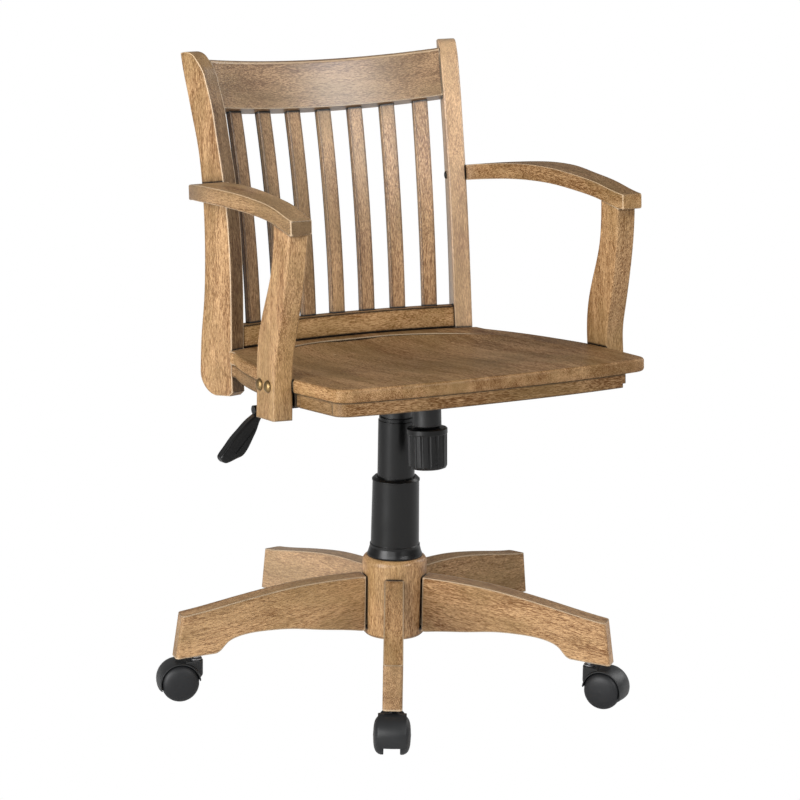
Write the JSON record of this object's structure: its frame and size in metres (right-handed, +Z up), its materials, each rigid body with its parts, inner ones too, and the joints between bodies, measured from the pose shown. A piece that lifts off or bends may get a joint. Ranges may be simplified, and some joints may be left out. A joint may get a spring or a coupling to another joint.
{
  "type": "swivel armchair",
  "caption": "Wooden swivel armchair with a slatted back, curved arms, a scooped seat, a tilt mechanism, a telescoping column and a star base on twin-wheel casters.",
  "frame": {"origin": "point on the floor on the swivel axis", "axes": "+Z up along the swivel axis, the chair faces -Y, +X is the sitter's left"},
  "size_m": [0.6843, 0.6771, 0.9156],
  "materials": {
    "base_wood": "satin lacquer over brown stain",
    "seat_wood": "satin lacquer over brown stain",
    "back_wood": "satin lacquer over brown stain",
    "arm_wood": "satin lacquer over brown stain",
    "antique_brass": "darkened antique brass",
    "black_steel": "blackened steel",
    "black_enamel": "satin black enamel",
    "bright_steel": "ground and plated steel",
    "plated_steel": "zinc-plated steel",
    "column_plastic": "satin black moulded plastic",
    "control_plastic": "satin black moulded plastic",
    "wheel_plastic": "charcoal moulded nylon",
    "hood_plastic": "black moulded nylon, semi-gloss"
  },
  "bodies": {
    "base": {"hub": "base_wood", "leg_front": "base_wood", "leg_right": "base_wood", "leg_rear_right": "base_wood", "leg_rear_left": "base_wood", "leg_left": "base_wood", "caster_sockets": "plated_steel", "gas_tube": "black_enamel", "cover_lower": "column_plastic"},
    "piston": {"piston_rod": "bright_steel"},
    "lift": {"gas_cylinder": "bright_steel", "cover_upper": "column_plastic", "mechanism_housing": "black_enamel", "mechanism_pins": "bright_steel", "tension_cup": "black_enamel"},
    "seat": {"seat_slab": "seat_wood", "seat_front_strip": "seat_wood", "seat_side_strips": "seat_wood", "back_post_right": "back_wood", "back_post_left": "back_wood", "crest_rail": "back_wood", "back_lower_rail": "back_wood", "back_slat_1": "back_wood", "back_slat_2": "back_wood", "back_slat_3": "back_wood", "back_slat_4": "back_wood", "back_slat_5": "back_wood", "back_slat_6": "back_wood", "back_slat_7": "back_wood", "armrest_right": "arm_wood", "armrest_left": "arm_wood", "arm_post_right": "arm_wood", "arm_post_left": "arm_wood", "arm_post_bolts": "antique_brass", "frame_bolts": "black_steel", "plate_screws": "black_steel", "tilt_plate": "black_enamel"},
    "lever": {"lever_rod": "black_steel", "lever_paddle": "control_plastic"},
    "knob": {"tension_knob": "control_plastic"},
    "caster_1": {"caster_1_hood": "hood_plastic", "caster_1_steel": "plated_steel"},
    "caster_1_wheel_a": {"caster_1_wheel_a": "wheel_plastic"},
    "caster_1_wheel_b": {"caster_1_wheel_b": "wheel_plastic"},
    "caster_2": {"caster_2_hood": "hood_plastic", "caster_2_steel": "plated_steel"},
    "caster_2_wheel_a": {"caster_2_wheel_a": "wheel_plastic"},
    "caster_2_wheel_b": {"caster_2_wheel_b": "wheel_plastic"},
    "caster_3": {"caster_3_hood": "hood_plastic", "caster_3_steel": "plated_steel"},
    "caster_3_wheel_a": {"caster_3_wheel_a": "wheel_plastic"},
    "caster_3_wheel_b": {"caster_3_wheel_b": "wheel_plastic"},
    "caster_4": {"caster_4_hood": "hood_plastic", "caster_4_steel": "plated_steel"},
    "caster_4_wheel_a": {"caster_4_wheel_a": "wheel_plastic"},
    "caster_4_wheel_b": {"caster_4_wheel_b": "wheel_plastic"},
    "caster_5": {"caster_5_hood": "hood_plastic", "caster_5_steel": "plated_steel"},
    "caster_5_wheel_a": {"caster_5_wheel_a": "wheel_plastic"},
    "caster_5_wheel_b": {"caster_5_wheel_b": "wheel_plastic"}
  },
  "joints": [
    {"name": "column_swivel", "type": "hinge", "parent": "base", "child": "piston", "pos_m": [0, 0, 0.08], "axis": [0, 0, 1], "continuous": true},
    {"name": "height_slide", "type": "slide", "parent": "piston", "child": "lift", "axis": [0, 0, 1], "range_m": [-0.08, 0], "stiffness_N_per_m": 600, "springref_m": 0.6},
    {"name": "seat_tilt", "type": "hinge", "parent": "lift", "child": "seat", "pos_m": [0, -0.04333, 0.46197], "axis": [-1, 0, 0], "range_deg": [0, 11], "stiffness_Nm_per_rad": 90, "springref_deg": -28.65},
    {"name": "lever_lift", "type": "hinge", "parent": "lift", "child": "lever", "pos_m": [-0.033, 0.00663, 0.43397], "axis": [0, 0.9969, -0.0785], "range_deg": [0, 3], "stiffness_Nm_per_rad": 2, "springref_deg": -14.32},
    {"name": "tension_turn", "type": "hinge", "parent": "lift", "child": "knob", "pos_m": [0, -0.08975, 0.40745], "axis": [0, 0.0785, 0.9969], "continuous": true},
    {"name": "caster_1_swivel", "type": "hinge", "parent": "base", "child": "caster_1", "pos_m": [-0.14501, -0.26377, 0.06], "axis": [0, 0, 1], "continuous": true},
    {"name": "caster_1_spin_a", "type": "hinge", "parent": "caster_1", "child": "caster_1_wheel_a", "pos_m": [-0.15705, -0.28568, 0.0275], "axis": [0.8763, -0.4818, 0], "continuous": true},
    {"name": "caster_1_spin_b", "type": "hinge", "parent": "caster_1", "child": "caster_1_wheel_b", "pos_m": [-0.15705, -0.28568, 0.0275], "axis": [0.8763, -0.4818, 0], "continuous": true},
    {"name": "caster_2_swivel", "type": "hinge", "parent": "base", "child": "caster_2", "pos_m": [-0.29567, 0.0564, 0.06], "axis": [0, 0, 1], "continuous": true},
    {"name": "caster_2_spin_a", "type": "hinge", "parent": "caster_2", "child": "caster_2_wheel_a", "pos_m": [-0.31984, 0.06279, 0.0275], "axis": [-0.2554, -0.9668, 0], "continuous": true},
    {"name": "caster_2_spin_b", "type": "hinge", "parent": "caster_2", "child": "caster_2_wheel_b", "pos_m": [-0.31984, 0.06279, 0.0275], "axis": [-0.2554, -0.9668, 0], "continuous": true},
    {"name": "caster_3_swivel", "type": "hinge", "parent": "base", "child": "caster_3", "pos_m": [-0.03773, 0.29863, 0.06], "axis": [0, 0, 1], "continuous": true},
    {"name": "caster_3_spin_a", "type": "hinge", "parent": "caster_3", "child": "caster_3_wheel_a", "pos_m": [-0.04086, 0.32343, 0.0275], "axis": [-0.9921, -0.1253, 0], "continuous": true},
    {"name": "caster_3_spin_b", "type": "hinge", "parent": "caster_3", "child": "caster_3_wheel_b", "pos_m": [-0.04086, 0.32343, 0.0275], "axis": [-0.9921, -0.1253, 0], "continuous": true},
    {"name": "caster_4_swivel", "type": "hinge", "parent": "base", "child": "caster_4", "pos_m": [0.27235, 0.12816, 0.06], "axis": [0, 0, 1], "continuous": true},
    {"name": "caster_4_spin_a", "type": "hinge", "parent": "caster_4", "child": "caster_4_wheel_a", "pos_m": [0.29497, 0.1388, 0.0275], "axis": [-0.4258, 0.9048, 0], "continuous": true},
    {"name": "caster_4_spin_b", "type": "hinge", "parent": "caster_4", "child": "caster_4_wheel_b", "pos_m": [0.29497, 0.1388, 0.0275], "axis": [-0.4258, 0.9048, 0], "continuous": true},
    {"name": "caster_5_swivel", "type": "hinge", "parent": "base", "child": "caster_5", "pos_m": [0.20605, -0.21942, 0.06], "axis": [0, 0, 1], "continuous": true},
    {"name": "caster_5_spin_a", "type": "hinge", "parent": "caster_5", "child": "caster_5_wheel_a", "pos_m": [0.22116, -0.23933, 0.0275], "axis": [0.7965, 0.6046, 0], "continuous": true},
    {"name": "caster_5_spin_b", "type": "hinge", "parent": "caster_5", "child": "caster_5_wheel_b", "pos_m": [0.22116, -0.23933, 0.0275], "axis": [0.7965, 0.6046, 0], "continuous": true}
  ]
}
